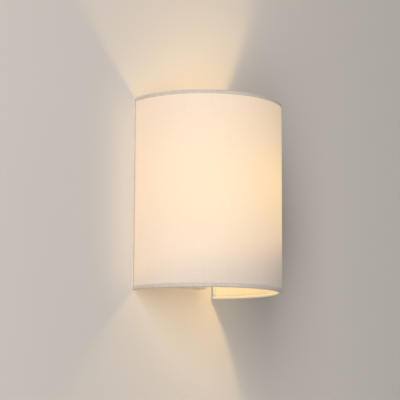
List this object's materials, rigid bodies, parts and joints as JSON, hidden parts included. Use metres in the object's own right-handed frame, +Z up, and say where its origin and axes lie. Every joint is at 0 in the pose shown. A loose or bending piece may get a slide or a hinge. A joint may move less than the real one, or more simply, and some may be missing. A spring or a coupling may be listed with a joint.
{
  "type": "fabric shade wall light",
  "caption": "Wall light with a part-cylinder fabric shade, open above and below, on a shallow box-shaped wall plate that carries a lampholder and lamp.",
  "frame": {"origin": "on the wall, at the centre of the wall bracket's back", "axes": "+Z up, -Y out from the wall into the room, +X to the right for a person who faces the wall"},
  "size_m": [0.1662, 0.1212, 0.2],
  "materials": {
    "shade_fabric": "plain-woven ivory cotton blend, bonded flat to the liner",
    "liner_sheet": "stiff translucent sheet, matt, lit from inside",
    "trim_fabric": "the same cloth, rolled over the frame's wires",
    "wire_paint": "white powder coat on steel wire and strip",
    "white_paint": "white powder coat, fine texture",
    "zinc_steel": "bright zinc plate",
    "brass": "plain brass",
    "block_nylon": "natural moulded nylon",
    "grommet_rubber": "soft moulded rubber",
    "brown_lead": "brown insulation",
    "blue_lead": "blue insulation",
    "green_lead": "green and yellow insulation",
    "porcelain": "white glazed porcelain",
    "opal_glass": "opal diffuser, lit",
    "white_plastic": "moulded white plastic",
    "nickel_plate": "satin nickel plate",
    "black_plastic": "black insulating compound",
    "board_white": "white solder mask",
    "diode_yellow": "phosphor under clear resin",
    "potting": "grey potting compound"
  },
  "bodies": {
    "wall_unit": {"wall_bracket": "zinc_steel", "bracket_pillars": "zinc_steel", "back_plate": "white_paint", "plate_screws": "white_paint", "thumb_inserts": "brass", "terminal_block": "block_nylon", "terminal_sleeves": "brass", "clamp_screws": "zinc_steel", "block_screw": "zinc_steel", "earth_tag": "brass", "earth_screw": "brass", "lead_grommet": "grommet_rubber", "live_lead": "brown_lead", "neutral_lead": "blue_lead", "earth_lead": "green_lead", "lamp_arm": "white_paint", "arm_screws": "zinc_steel", "arm_nuts": "zinc_steel", "lampholder_body": "porcelain", "lampholder_shell": "brass", "centre_contact": "brass", "shell_contact": "brass", "contact_screws": "zinc_steel", "holder_screws": "zinc_steel", "holder_nuts": "zinc_steel"},
    "bulb_core": {"bulb_driver": "potting"},
    "bulb": {"bulb_globe": "opal_glass", "bulb_housing": "white_plastic", "bulb_cap": "nickel_plate", "bulb_insulator": "black_plastic", "bulb_contact": "nickel_plate", "bulb_board": "board_white", "bulb_diodes": "diode_yellow"},
    "shade": {"shade_cover": "shade_fabric", "shade_liner": "liner_sheet", "top_trim": "trim_fabric", "bottom_trim": "trim_fabric", "right_trim": "trim_fabric", "left_trim": "trim_fabric", "top_ring": "wire_paint", "bottom_ring": "wire_paint", "right_rod": "wire_paint", "left_rod": "wire_paint", "upper_strap": "wire_paint", "lower_strap": "wire_paint"},
    "upper_screw": {"upper_thumbscrew": "nickel_plate", "upper_screw_ring": "zinc_steel"},
    "lower_screw": {"lower_thumbscrew": "nickel_plate", "lower_screw_ring": "zinc_steel"}
  },
  "joints": [
    {"name": "shade_pull", "type": "slide", "parent": "wall_unit", "child": "shade", "axis": [0, -1, 0], "range_m": [0, 0.1]},
    {"name": "upper_screw_turn", "type": "hinge", "parent": "shade", "child": "upper_screw", "pos_m": [0, -0.02, 0.072], "axis": [0, -1, 0], "continuous": true},
    {"name": "lower_screw_turn", "type": "hinge", "parent": "shade", "child": "lower_screw", "pos_m": [0, -0.02, -0.072], "axis": [0, -1, 0], "continuous": true},
    {"name": "bulb_rise", "type": "slide", "parent": "wall_unit", "child": "bulb_core", "axis": [0, 0, 1], "range_m": [0, 0.0182]},
    {"name": "bulb_turn", "type": "hinge", "parent": "bulb_core", "child": "bulb", "pos_m": [0, -0.054, 0], "axis": [0, 0, 1], "range_deg": [0, 1800]}
  ],
  "couplings": [
    {"joint": "bulb_rise", "follows": "bulb_turn", "m_per_rad": 0.00057757}
  ]
}
